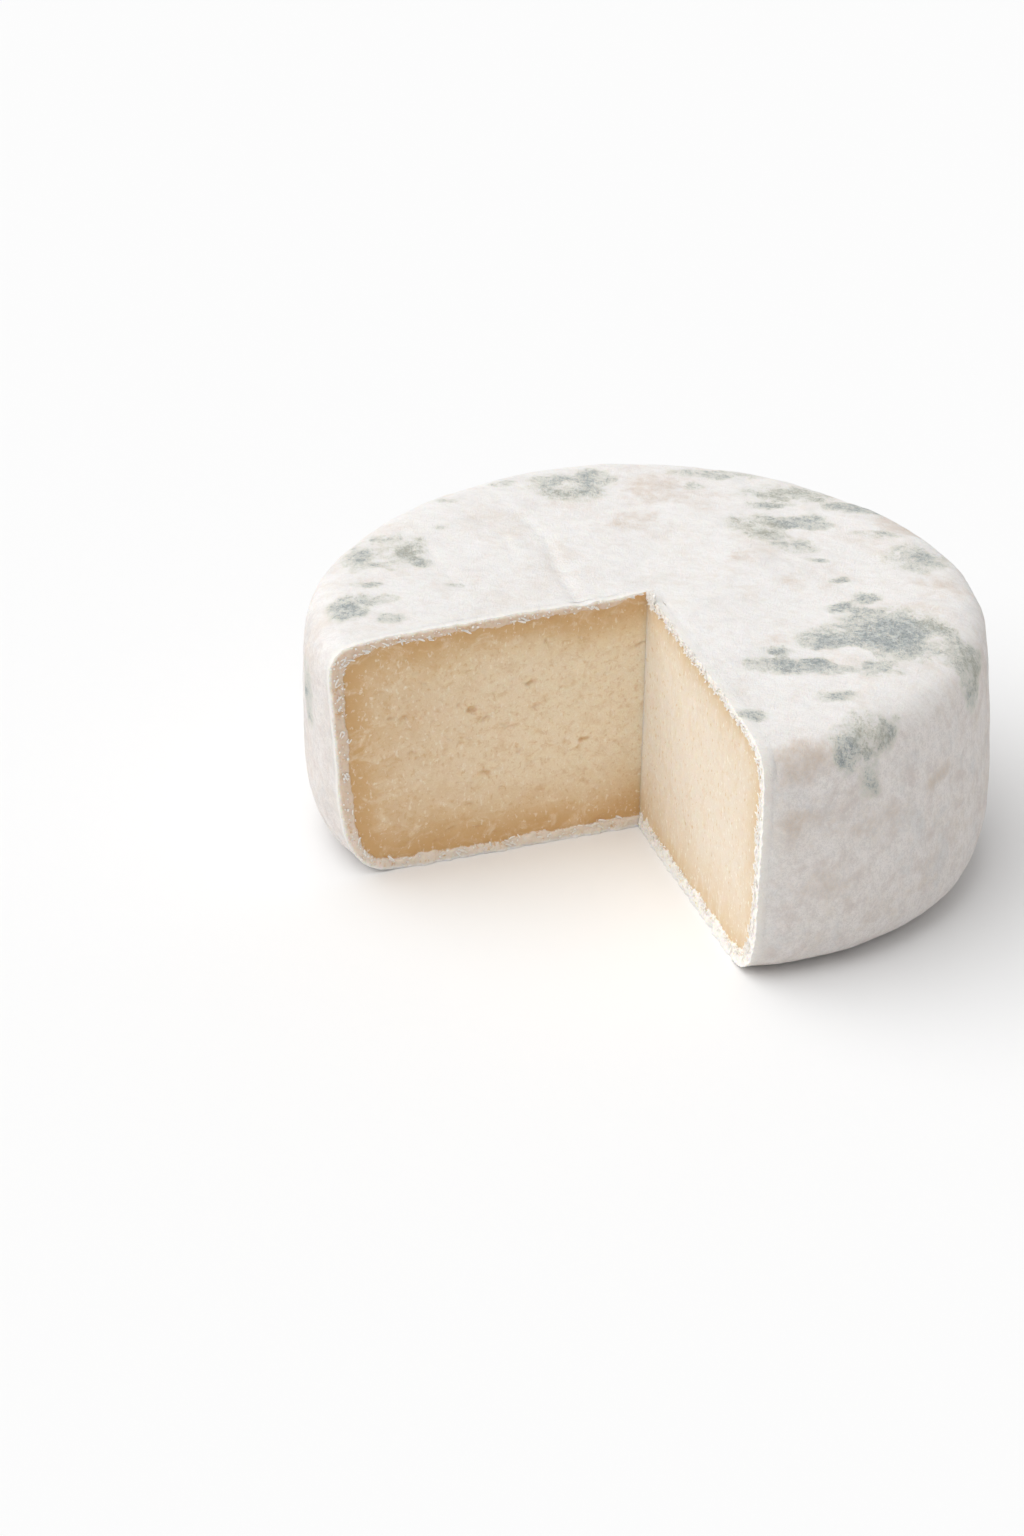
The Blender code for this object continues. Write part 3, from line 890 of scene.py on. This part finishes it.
sliver = small_lump("sliver", (SLIVER_LENGTH, SLIVER_WIDTH, SLIVER_WIDTH / 2), 0.3 * MM)
crumb = small_lump("crumb", (CRUMB_RADIUS, CRUMB_RADIUS * 0.8, CRUMB_RADIUS * 0.6), 0.0)
print("a sliver has", len(sliver.data.polygons), "faces")


# %% Strew them along the cuts
STREW_SEED = 5
CORNER_REACH = 7.0 * MM
CREST_REACH = 70.0 * MM
END_GAP = 2.0 * MM
STAND_OUT = RIND_PROUD + 0.1 * MM
LEAN_SPREAD = 0.45


def strewn(original, cut, count, draw, stretch, depths, lean, sizes):
    """Copies of a lump on the rind's section, each with its own mesh, turn and size.

    The stretch is the part of the outline they are strewn along, and the depths are shares of the rind.
    """
    line, outward, reached = outline_at(cut)
    inside = line - outward * RIND_THICKNESS[cut]["top"]
    border = rind_border(cut, line, reached, np.zeros(len(line)), inside)
    direction = Vector((math.cos(cut), math.sin(cut), 0.0))
    look = Vector((*into_notch(cut), 0.0))
    for _ in range(count):
        number = int(np.searchsorted(reached, draw.uniform(*stretch)))
        spot = line[number] - outward[number] * border[number] * draw.uniform(*depths)
        tilt = math.atan2(outward[number][0], -outward[number][1]) + draw.gauss(lean, LEAN_SPREAD)
        across = direction * math.cos(tilt) + Vector((0.0, 0.0, math.sin(tilt)))
        size = draw.uniform(*sizes)
        axes = Matrix((across, look.cross(across), look)).transposed() @ Matrix.Diagonal((size, size, size))
        place = direction * spot[0] + Vector((0.0, 0.0, spot[1])) + look * STAND_OUT
        copy = bpy.data.objects.new(original.name, original.data.copy())
        copy.data.transform(Matrix.Translation(place) @ axes.to_4x4())
        if min(vertex.co.z for vertex in copy.data.vertices) < 0:
            bpy.data.objects.remove(copy)
            continue
        bpy.context.scene.collection.objects.link(copy)
        yield copy


draw = random.Random(STREW_SEED)
lumps = []
for cut, slivers, crumbs in ((LEFT_CUT, 100, 240), (RIGHT_CUT, 420, 200)):
    whole = (END_GAP, outline_at(cut)[2][-1] - END_GAP)
    lumps += strewn(sliver, cut, slivers, draw, whole, (0.45, 1.1), 0.5, (0.5, 1.5))
    lumps += strewn(crumb, cut, crumbs, draw, whole, (0.05, 1.0), 0.0, (0.4, 1.2))
lumps += strewn(sliver, RIGHT_CUT, 50, draw, (0.2 * MM, CORNER_REACH), (-0.5, 0.9), 0.9, (0.8, 1.9))
lumps += strewn(sliver, RIGHT_CUT, 70, draw, (0.2 * MM, CREST_REACH), (-0.25, 0.2), 0.0, (0.7, 1.4))
lumps += strewn(crumb, RIGHT_CUT, 70, draw, (0.0, CORNER_REACH), (-0.6, 0.3), 0.0, (0.9, 2.1))
for original in (sliver, crumb):
    bpy.data.objects.remove(original)
bpy.ops.object.select_all(action="DESELECT")
for lump in lumps:
    lump.select_set(True)
bpy.context.view_layer.objects.active = lumps[0]
bpy.ops.object.join()
flakes = bpy.context.object
flakes.name = "rind_flakes"
flakes.data.name = "rind_flakes"
print(len(lumps), "lumps of torn rind,", len(flakes.data.polygons), "faces")

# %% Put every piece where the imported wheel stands
pieces = [rind, *sheets.values(), flakes]
for piece in pieces:
    put_points(piece, points_of(piece) + np.array(CORNER))
    shade(piece)

# %% [markdown]
# ## Sums in shader nodes
#
# A finish is a sum of many noises and masks. Written node by node it is hard to read, so one small class
# lets an output be added and multiplied like a number, and each sum adds its Math node. Every other node
# comes from one method of the finish. Colour goes on in coats, each spread by a mask.


# %% Wires that can be summed, and finishes that are built from nodes
class Wire:
    """An output of a node. A sum on it adds the Math node that works it out."""

    def __init__(self, tree, socket):
        self.tree = tree
        self.socket = socket

    def sum(self, operation, first, second):
        node = self.tree.nodes.new("ShaderNodeMath")
        node.operation = operation
        for socket, term in zip(node.inputs, (first, second)):
            if isinstance(term, Wire):
                self.tree.links.new(term.socket, socket)
            else:
                socket.default_value = term
        return Wire(self.tree, node.outputs[0])

    def __add__(self, other):
        return self.sum("ADD", self, other)

    def __sub__(self, other):
        return self.sum("SUBTRACT", self, other)

    def __rsub__(self, other):
        return self.sum("SUBTRACT", other, self)

    def __mul__(self, other):
        return self.sum("MULTIPLY", self, other)

    __radd__ = __add__
    __rmul__ = __mul__


class Finish:
    """A material that is built up from nodes round one Principled shader."""

    def __init__(self, name, constants):
        self.material = bpy.data.materials.new(name)
        self.material.use_nodes = True
        self.tree = self.material.node_tree
        self.shader = self.tree.nodes["Principled BSDF"]
        for socket, value in constants.items():
            self.shader.inputs[socket].default_value = value
        self.place = self.node("TexCoord", output="Object")

    def feed(self, socket, value):
        """Links a wire to a socket, or sets the socket to a value."""
        if isinstance(value, Wire):
            self.tree.links.new(value.socket, socket)
        else:
            socket.default_value = value

    def node(self, kind, settings=None, values=None, output=0):
        """Adds a node, sets it up, feeds its sockets and returns one of its outputs."""
        node = self.tree.nodes.new("ShaderNode" + kind)
        for name, setting in (settings or {}).items():
            setattr(node, name, setting)
        for socket, value in (values or {}).items():
            self.feed(node.inputs[socket], value)
        return Wire(self.tree, node.outputs[output])

    def painted(self, name):
        """A value that was painted on the vertices."""
        return self.node("Attribute", {"attribute_name": name}, output="Fac")

    def cloud(self, size, detail=3.0, rough=0.55, warp=0.0, at=None):
        """Noise from 0 to 1 in clouds of a size in metres."""
        values = {"Vector": at or self.place, "Scale": 1 / size, "Detail": detail, "Roughness": rough}
        return self.node("TexNoise", None, {**values, "Distortion": warp})

    def step(self, value, low, high):
        """0 below low, 1 above high, and an even ease between them."""
        settings = {"interpolation_type": "SMOOTHSTEP"}
        return self.node("MapRange", settings, {"Value": value, "From Min": low, "From Max": high})

    def mix(self, share, first, second):
        """A colour between two colours."""
        return self.node("Mix", {"data_type": "RGBA"}, {0: share, 6: first, 7: second}, output=2)

    def coats(self, colour, *coats):
        """A colour under coats of others, each given with the share of it that goes on."""
        for share, over in coats:
            colour = self.mix(share, colour, over)
        return colour

    def height(self):
        """How high up a point is, in metres."""
        return self.node("SeparateXYZ", None, {"Vector": self.place}, output="Z")

    def turned(self, angle, stretch):
        """Object coordinates turned about the upright axis and stretched, for a pattern that has a grain."""
        settings = {"Vector": self.place, "Rotation": (0.0, 0.0, -angle), "Scale": stretch}
        return self.node("Mapping", None, settings)

    def dress(self, colour, roughness, bump, bump_depth):
        """Feeds the shader."""
        self.feed(self.shader.inputs["Base Color"], colour)
        self.feed(self.shader.inputs["Roughness"], roughness)
        normal = self.node("Bump", None, {"Height": bump, "Distance": bump_depth, "Strength": 1.0})
        self.feed(self.shader.inputs["Normal"], normal)


def soft_body(share, reach, radius, shine):
    """Socket values for stuff that light sinks into: how much, how deep, that by colour, and its shine."""
    return {
        "Subsurface Weight": share,
        "Subsurface Scale": reach,
        "Subsurface Radius": radius,
        "Specular IOR Level": shine,
    }


def tint(red, green, blue):
    """A colour given as it shows on a screen, from 0 to 255, as the linear values that shaders use."""
    return (*(((value / 255 + 0.055) / 1.055) ** 2.4 for value in (red, green, blue)), 1.0)


# %% [markdown]
# ## The bloomy rind
#
# White mould is a dull felt. Close up it is a mix of white, warm beige, rosy and cool grey clouds, with tan
# stains where moisture came through. The shade between the hairs of its pile is painted in as a darker
# colour, and painted light makes the skin lighter near the cuts. The blue-grey colonies are broken up by
# noise of several sizes, have pale flecks in them, turn olive in places and fade through a yellowish-green
# fringe.

# %% Rind finish
WHITE_BLOOM = tint(251, 248, 245)
WARM_BLOOM = tint(236, 226, 216)
COOL_BLOOM = tint(228, 227, 226)
WALL_BLOOM = tint(247, 240, 235)
ROSY_BLOOM = tint(224, 212, 205)
PILE_PAINTED_SHADE = tint(214, 207, 203)
TAN_STAIN = tint(214, 196, 178)
RIND_WHITE = tint(254, 249, 242)
MOULD_FRINGE = tint(224, 223, 205)
MOULD_PALE = tint(207, 212, 210)
MOULD_DARK = tint(155, 163, 165)
MOULD_OLIVE = tint(203, 198, 176)
BLOOM_WALL_TOP = (66.0 * MM, 77.0 * MM)
BLOOM_BUMP = 0.38 * MM


def bloom_finish():
    """White mould with clouds, stains and colonies."""
    bloom = Finish("bloom", soft_body(0.25, 2.0 * MM, (1.0, 0.75, 0.55), 0.25))
    pile = bloom.cloud(0.9 * MM, 5.0, 0.7)
    fuzz = bloom.cloud(0.45 * MM, 3.0, 0.7)
    small = bloom.cloud(4.5 * MM, 5.0, 0.65, warp=0.3)
    brushed = bloom.cloud(1.6 * MM, 5.0, 0.68, at=bloom.turned(0.9, (0.28, 1.0, 0.6)))
    wall = 1 - bloom.step(bloom.height(), *BLOOM_WALL_TOP)
    warm = bloom.step(bloom.cloud(21 * MM, 6.0, 0.65, warp=0.4) + 0.4 * (small - 0.5), 0.46, 0.74)
    cool = bloom.step(bloom.cloud(13 * MM, 6.0, 0.65, warp=0.5), 0.48, 0.75)
    rosy = bloom.step(bloom.cloud(7 * MM, 6.0, 0.68, warp=0.3), 0.46, 0.72)
    stain = bloom.step(bloom.painted("stain") + 1.6 * (small - 0.5) + 0.8 * (pile - 0.5), 0.0, 1.1)
    felt = 1 - bloom.step(0.35 * pile + 0.3 * fuzz + 0.35 * brushed, 0.4, 0.57)
    pale = bloom.painted("edge")
    colony = bloom.painted("mould")
    breakup = 1.9 * (small - 0.5) + 0.35 * (brushed - 0.5) + 1.1 * (pile - 0.5) + 0.6 * (fuzz - 0.5)
    edge = colony * 0.85 + bloom.step(colony, 0.0, 0.4) * breakup
    fringe = bloom.step(edge, 0.05, 0.45)
    growth = bloom.step(edge, 0.18, 0.95)
    flecks = bloom.step(bloom.cloud(1.8 * MM, 5.0, 0.75), 0.4, 0.62)
    core = bloom.step(edge, 0.42, 1.15) * (0.35 + 0.65 * flecks)
    olive = bloom.step(bloom.painted("olive") + 1.6 * (small - 0.5), 0.1, 0.9)
    colour = bloom.coats(
        WHITE_BLOOM,
        (wall * 0.8, WALL_BLOOM),
        (warm * (0.55 + 0.35 * wall), WARM_BLOOM),
        (cool * (0.45 + 0.35 * wall), COOL_BLOOM),
        (rosy * (0.14 + 0.6 * wall), ROSY_BLOOM),
        (stain * 0.7, TAN_STAIN),
        # Painted shade between the hairs of the pile, stronger on the wall
        (felt * (0.24 + 0.3 * wall), PILE_PAINTED_SHADE),
        # Painted light: the skin is lightened near each cut, standing in for light on the thin torn edge
        (pale * pale * (0.5 + 0.7 * small), RIND_WHITE),
        (bloom.step(colony, 0.0, 0.7) * 0.3, COOL_BLOOM),
        (fringe * 0.5, MOULD_FRINGE),
        (growth * 0.8, MOULD_PALE),
        (core * 0.9, MOULD_DARK),
        (olive * growth * (0.3 + 0.35 * flecks), MOULD_OLIVE),
    )
    bump = pile * 0.9 + fuzz * 0.6 + small * 0.6 + brushed * 0.5 + growth * flecks * 0.4
    bloom.dress(colour, 0.88 + 0.1 * fuzz, bump, BLOOM_BUMP)
    return bloom.material


# %% [markdown]
# ## The cut faces
#
# Inside the rind the paste ripens from the outside in: amber just under the rind, then straw, then ivory.
# The painted distance from the rind's border drives that. The grain of the knife runs almost level on one
# cut and upright on the other.

# %% Cut finish
SPECK = tint(251, 243, 228)
# The left face's tones, its rind in section too, are darker and more amber than the right face's: partly
# riper paste, and partly painted shade, as the left face is turned from the lamp.
LEFT_PASTE = {
    "grain": (0.28, 1.0, 1.0),
    "ripe to": 11.0,
    "amber": tint(207, 164, 109),
    "straw": tint(234, 212, 174),
    "ivory": tint(243, 228, 202),
    "rind": tint(226, 206, 186),
    "rind shade": tint(212, 189, 163),
    "streaky": 0.5,
    "outer": 0.66,
    "gritty": 0.35,
}
RIGHT_PASTE = {
    "grain": (1.0, 1.0, 0.5),
    "ripe to": 8.0,
    "amber": tint(221, 193, 153),
    "straw": tint(236, 221, 200),
    "ivory": tint(241, 231, 217),
    "rind": tint(253, 248, 241),
    "rind shade": tint(238, 222, 203),
    "streaky": 0.15,
    "outer": 0.3,
    "gritty": 0.75,
}
TORN_WHITE = tint(255, 250, 242)
PAINTED_HOLLOW_SHADE = tint(208, 162, 101)
LOW_PASTE = (5.0 * MM, 30.0 * MM)
CORNER_SHADE = (0.0, 0.012)
PASTE_BUMP = 0.3 * MM


def cut_finish(name, cut, tones):
    """Rind in section, ripe paste inside it, and the paste of the middle."""
    paste = Finish(name, soft_body(0.35, 4.0 * MM, (1.0, 0.6, 0.3), 0.4))
    amber = tones["amber"]
    along_grain = paste.turned(cut, tones["grain"])
    fine = paste.cloud(0.5 * MM, 4.0, 0.65)
    crumbs = paste.cloud(1.3 * MM, 4.0, 0.65)
    streaks = paste.cloud(2.2 * MM, 5.0, 0.65, warp=0.5, at=along_grain)
    smears = paste.cloud(6.0 * MM, 5.0, 0.65, warp=0.8, at=along_grain)
    slow = paste.cloud(24 * MM, 3.0, 0.5, warp=0.4)
    mottle = paste.cloud(7 * MM, 5.0, 0.65, warp=0.8)
    under_skin = paste.painted("under_skin")
    in_rind = paste.step(paste.painted("crust") + 1.0 * (crumbs - 0.5) + 0.5 * (fine - 0.5), -0.2, 0.12)
    depth = 0 - paste.painted("crust")
    ripeness = 1 - paste.step(depth + 7.0 * (slow - 0.5) + 5.0 * (mottle - 0.5), 0.2, tones["ripe to"])
    middle = paste.step(depth + 18.0 * (slow - 0.5) + 8.0 * (mottle - 0.5), 2.0, 20.0)
    outward = paste.painted("outward")
    low = 1 - paste.step(paste.height(), *LOW_PASTE)
    bright = paste.step(paste.cloud(1.5 * MM, 3.0, 0.6, at=along_grain), 0.64, 0.72)
    grit = paste.cloud(1.1 * MM, 2.0, 0.5, at=paste.turned(cut, (1.0, 1.0, 0.6)))
    colour = paste.coats(
        tones["straw"],
        (middle, tones["ivory"]),
        # The paste turns amber towards the rim: partly riper paste, partly painted shade on the outer part of
        # the face
        (outward * outward * tones["outer"], amber),
        (low * 0.42, amber),
        (ripeness * 0.8, amber),
        # Painted highlight: the knife's raised smears are lightened, standing in for the light they catch
        (paste.step(smears, 0.48, 0.72) * 0.6, tones["ivory"]),
        (paste.step(streaks, 0.48, 0.75) * tones["streaky"], amber),
        ((1 - paste.step(fine, 0.36, 0.6)) * 0.16, amber),
        (paste.step(mottle, 0.5, 0.66) * 0.22, amber),
        (bright * 0.4, SPECK),
        (paste.step(grit, 0.61, 0.69) * tones["gritty"], SPECK),
        ((1 - paste.step(grit, 0.31, 0.38)) * tones["gritty"], amber),
        # Painted shade: the paste is darkened to amber inside the eyes and slits, more where they are deeper
        (paste.step(paste.painted("pit"), 0.05, 1.0) * 0.55, PAINTED_HOLLOW_SHADE),
        # Painted shade: the paste is darkened in a thin strip along the notch's inner corner, where the faces
        # meet
        ((1 - paste.step(outward, *CORNER_SHADE)) * 0.1, PAINTED_HOLLOW_SHADE),
    )
    pores = paste.step(paste.cloud(1.5 * MM, 3.0, 0.6), 0.53, 0.63) * paste.step(mottle, 0.47, 0.58)
    section = paste.coats(
        RIND_WHITE,
        (paste.step(under_skin, 0.1, 1.3), tones["rind"]),
        # Painted light: the rind's section is whitened towards the foot, standing in for light it lacks low
        # down
        (low * 0.35, RIND_WHITE),
        (paste.step(crumbs, 0.45, 0.72) * 0.3, tones["rind shade"]),
        (pores * paste.step(under_skin, 0.6, 1.4) * 0.7, amber),
    )
    colour = paste.mix(in_rind, colour, section)
    bump = fine * 0.1 + streaks * 0.38 + smears * 0.5 + mottle * 0.3 + crumbs * in_rind * 0.6
    roughness = 0.5 + 0.12 * (mottle - 0.5) + in_rind * 0.4
    paste.dress(colour, roughness, bump, PASTE_BUMP)
    return paste.material


def torn_finish():
    """The bright, dry fibre of torn rind."""
    torn = Finish("torn_rind", soft_body(0.3, 2.0 * MM, (1.0, 0.8, 0.6), 0.25))
    clouds = torn.cloud(2.2 * MM, 3.0, 0.6)
    fine = torn.cloud(0.3 * MM, 3.0, 0.6)
    colour = torn.mix(torn.step(clouds, 0.45, 0.8) * 0.4, TORN_WHITE, RIGHT_PASTE["rind shade"])
    torn.dress(colour, 0.85 + 0.1 * fine, fine, 0.1 * MM)
    return torn.material


# %% Dress the pieces
def wear(piece, *materials):
    """Gives a piece its materials, in the order of its faces' numbers."""
    piece.data.materials.clear()
    for material in materials:
        piece.data.materials.append(material)


INNER_EDGE = 3.0 * MM
UPRIGHT = 0.5
TURNED_AWAY = 0.35

bloom = bloom_finish()
wear(rind, bloom)
for cut, name, tones in ((LEFT_CUT, "left_cut", LEFT_PASTE), (RIGHT_CUT, "right_cut", RIGHT_PASTE)):
    wear(sheets[cut], cut_finish(name, cut, tones), bloom)
    look = Vector((*into_notch(cut), 0.0))
    for face in sheets[cut].data.polygons:
        inner = (face.center - CORNER).xy.length < INNER_EDGE and abs(face.normal.z) < UPRIGHT
        face.material_index = int(face.normal.dot(look) < TURNED_AWAY and not inner)
wear(flakes, torn_finish())
print("materials:", [material.name for material in bpy.data.materials])

# %% [markdown]
# ## Floor and light
#
# The photograph is a bright, soft studio picture on a white sweep. A pale sky fills every shadow. The one
# lamp stands for a large softbox high on the left: a sun lamp with a very wide angle gives its soft shadows,
# and lights the whole floor evenly.

# %% Floor
FLOOR_SIZE = 30.0
FLOOR_WHITE = tint(242, 242, 242)

floor = fresh("floor", bpy.ops.mesh.primitive_plane_add, size=FLOOR_SIZE)
paper = Finish("paper", {"Specular IOR Level": 0.0})
paper_grain = paper.cloud(1.5 * MM, 3.0, 0.6)
paper.dress(FLOOR_WHITE, 1.0, paper_grain, 0.02 * MM)
wear(floor, paper.material)

# %% Sky and lamp
SKY_STRENGTH = 0.505
LAMP_STRENGTH = 2.2
LAMP_ANGLE = math.radians(80.0)
LAMP_ELEVATION = math.radians(58.0)
LAMP_FROM = CAMERA_AZIMUTH + math.radians(182.0)

world = bpy.data.worlds.new("sky")
bpy.context.scene.world = world
world.use_nodes = True
sky = world.node_tree.nodes["Background"].inputs
sky["Color"].default_value = (1.0, 1.0, 1.0, 1.0)
sky["Strength"].default_value = SKY_STRENGTH

lamp = bpy.data.objects.new("lamp", bpy.data.lights.new("lamp", "SUN"))
bpy.context.scene.collection.objects.link(lamp)
lamp.data.energy = LAMP_STRENGTH
lamp.data.angle = LAMP_ANGLE
from_lamp = Vector((
    math.cos(LAMP_FROM) * math.cos(LAMP_ELEVATION),
    math.sin(LAMP_FROM) * math.cos(LAMP_ELEVATION),
    math.sin(LAMP_ELEVATION),
))
lamp.location = from_lamp
lamp.rotation_euler = from_lamp.to_track_quat("Z", "Y").to_euler()
bpy.context.scene.view_settings.view_transform = "Standard"

# %% [markdown]
# ## Hand over
#
# Every piece rides on the wheel's one body and stands for its solid.

# %% Ride and replace
for piece in pieces:
    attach(piece, "root")
    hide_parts("cheese_wheel")
